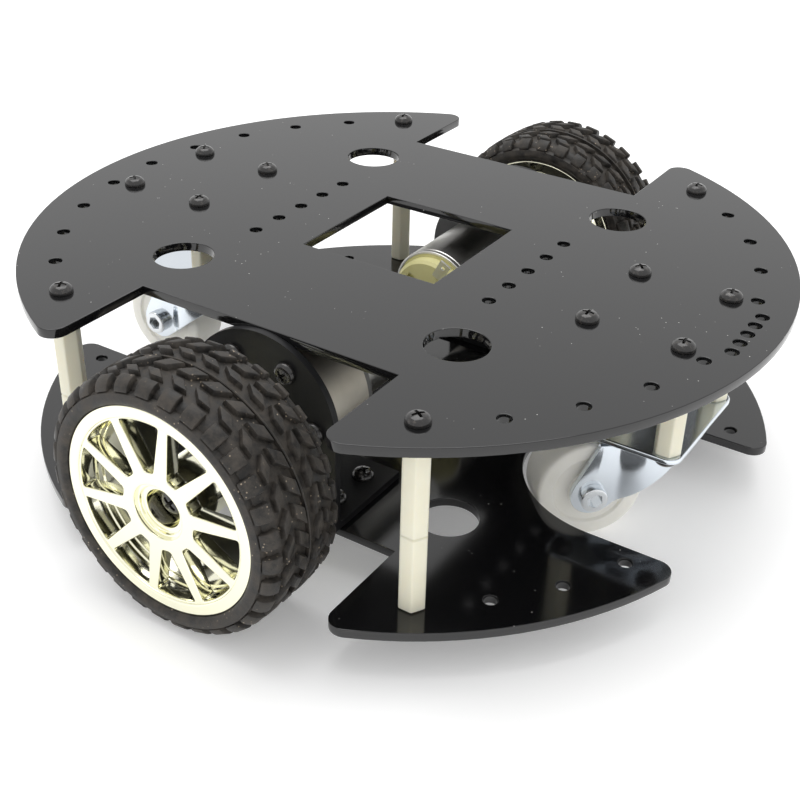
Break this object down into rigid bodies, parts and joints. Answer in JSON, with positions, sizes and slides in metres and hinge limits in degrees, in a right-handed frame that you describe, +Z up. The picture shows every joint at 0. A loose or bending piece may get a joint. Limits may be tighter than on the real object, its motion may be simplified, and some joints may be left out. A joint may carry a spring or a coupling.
{
  "type": "wheeled robot chassis",
  "caption": "Small wheeled robot base with round black decks on white standoffs, geared side motors with plated wheels and ribbed tyres, and swivel casters front and rear.",
  "frame": {"origin": "on the ground, under the centre of the round decks", "axes": "+X forward, the end with the row of five close holes; Y along the drive wheels' axle, +Y to the left; +Z up"},
  "size_m": [0.2012, 0.2052, 0.066],
  "materials": {
    "black_acrylic": "polished black acrylic sheet",
    "white_nylon": "milky moulded nylon",
    "black_screw": "black zinc plate, satin",
    "zinc_screw": "bright zinc plate",
    "black_bracket": "black powder coat",
    "gearbox_metal": "satin metal",
    "gear_steel": "machined steel",
    "motor_steel": "satin nickel plate",
    "ferrite": "dull grey ferrite",
    "cream_plastic": "moulded cream plastic",
    "tinned_lug": "tinned sheet",
    "plated_rim": "bright plated plastic",
    "tyre_rubber": "moulded rubber",
    "zinc_sheet": "bright zinc plated sheet",
    "bearing_steel": "polished steel",
    "caster_nylon": "moulded white nylon"
  },
  "bodies": {
    "chassis": {"top_deck": "black_acrylic", "bottom_deck": "black_acrylic", "upper_standoffs": "white_nylon", "lower_standoffs": "white_nylon", "caster_standoffs": "white_nylon", "column_top_screws": "black_screw", "column_bottom_screws": "black_screw", "caster_top_screws": "black_screw", "caster_bottom_screws": "black_screw", "bracket_screws": "black_screw", "bracket_nuts": "black_screw", "motor_screws_left": "black_screw", "motor_bracket_left": "black_bracket", "gearbox_housing_left": "gearbox_metal", "gearbox_cover_left": "gearbox_metal", "idler_pin_left": "gear_steel", "motor_can_left": "motor_steel", "motor_magnets_left": "ferrite", "motor_end_cap_left": "cream_plastic", "motor_terminals_left": "tinned_lug", "motor_screws_right": "black_screw", "motor_bracket_right": "black_bracket", "gearbox_housing_right": "gearbox_metal", "gearbox_cover_right": "gearbox_metal", "idler_pin_right": "gear_steel", "motor_can_right": "motor_steel", "motor_magnets_right": "ferrite", "motor_end_cap_right": "cream_plastic", "motor_terminals_right": "tinned_lug", "caster_base_plate_front": "zinc_sheet", "caster_kingpin_front": "zinc_sheet", "caster_base_plate_rear": "zinc_sheet", "caster_kingpin_rear": "zinc_sheet"},
    "left_wheel": {"tyre_left": "tyre_rubber", "rim_left": "plated_rim", "hex_coupling_left": "gear_steel", "coupling_set_screw_left": "black_screw", "wheel_screw_left": "black_screw", "output_shaft_left": "gear_steel"},
    "left_idler": {"idler_gear_left": "gear_steel"},
    "left_rotor": {"rotor_left": "gear_steel"},
    "right_wheel": {"tyre_right": "tyre_rubber", "rim_right": "plated_rim", "hex_coupling_right": "gear_steel", "coupling_set_screw_right": "black_screw", "wheel_screw_right": "black_screw", "output_shaft_right": "gear_steel"},
    "right_idler": {"idler_gear_right": "gear_steel"},
    "right_rotor": {"rotor_right": "gear_steel"},
    "front_caster_fork": {"caster_fork_front": "zinc_sheet", "caster_balls_front": "bearing_steel", "caster_axle_bolt_front": "zinc_screw", "caster_axle_nut_front": "zinc_screw"},
    "front_caster_wheel": {"caster_wheel_front": "caster_nylon"},
    "rear_caster_fork": {"caster_fork_rear": "zinc_sheet", "caster_balls_rear": "bearing_steel", "caster_axle_bolt_rear": "zinc_screw", "caster_axle_nut_rear": "zinc_screw"},
    "rear_caster_wheel": {"caster_wheel_rear": "caster_nylon"}
  },
  "joints": [
    {"name": "left_wheel_spin", "type": "hinge", "parent": "chassis", "child": "left_wheel", "pos_m": [0, 0.09, 0.033], "axis": [0, 1, 0], "continuous": true},
    {"name": "left_idler_spin", "type": "hinge", "parent": "chassis", "child": "left_idler", "pos_m": [0.00874, 0.05, 0.03786], "axis": [0, 1, 0], "continuous": true},
    {"name": "left_rotor_spin", "type": "hinge", "parent": "chassis", "child": "left_rotor", "pos_m": [0, 0.03, 0.04], "axis": [0, 1, 0], "continuous": true},
    {"name": "right_wheel_spin", "type": "hinge", "parent": "chassis", "child": "right_wheel", "pos_m": [0, -0.09, 0.033], "axis": [0, 1, 0], "continuous": true},
    {"name": "right_idler_spin", "type": "hinge", "parent": "chassis", "child": "right_idler", "pos_m": [0.00874, -0.05, 0.03786], "axis": [0, 1, 0], "continuous": true},
    {"name": "right_rotor_spin", "type": "hinge", "parent": "chassis", "child": "right_rotor", "pos_m": [0, -0.03, 0.04], "axis": [0, 1, 0], "continuous": true},
    {"name": "front_caster_swivel", "type": "hinge", "parent": "chassis", "child": "front_caster_fork", "pos_m": [0.0714, 0, 0.0294], "axis": [0, 0, 1], "continuous": true},
    {"name": "front_caster_roll", "type": "hinge", "parent": "front_caster_fork", "child": "front_caster_wheel", "pos_m": [0.06081, -0.00954, 0.014], "axis": [-0.6691, 0.7431, 0], "continuous": true},
    {"name": "rear_caster_swivel", "type": "hinge", "parent": "chassis", "child": "rear_caster_fork", "pos_m": [-0.0714, 0, 0.0294], "axis": [0, 0, 1], "continuous": true},
    {"name": "rear_caster_roll", "type": "hinge", "parent": "rear_caster_fork", "child": "rear_caster_wheel", "pos_m": [-0.08565, 0, 0.014], "axis": [0, 1, 0], "continuous": true}
  ],
  "couplings": [
    {"joint": "left_idler_spin", "follows": "left_wheel_spin", "ratio": -3},
    {"joint": "left_rotor_spin", "follows": "left_wheel_spin", "ratio": 7.8},
    {"joint": "right_idler_spin", "follows": "right_wheel_spin", "ratio": -3},
    {"joint": "right_rotor_spin", "follows": "right_wheel_spin", "ratio": 7.8}
  ]
}
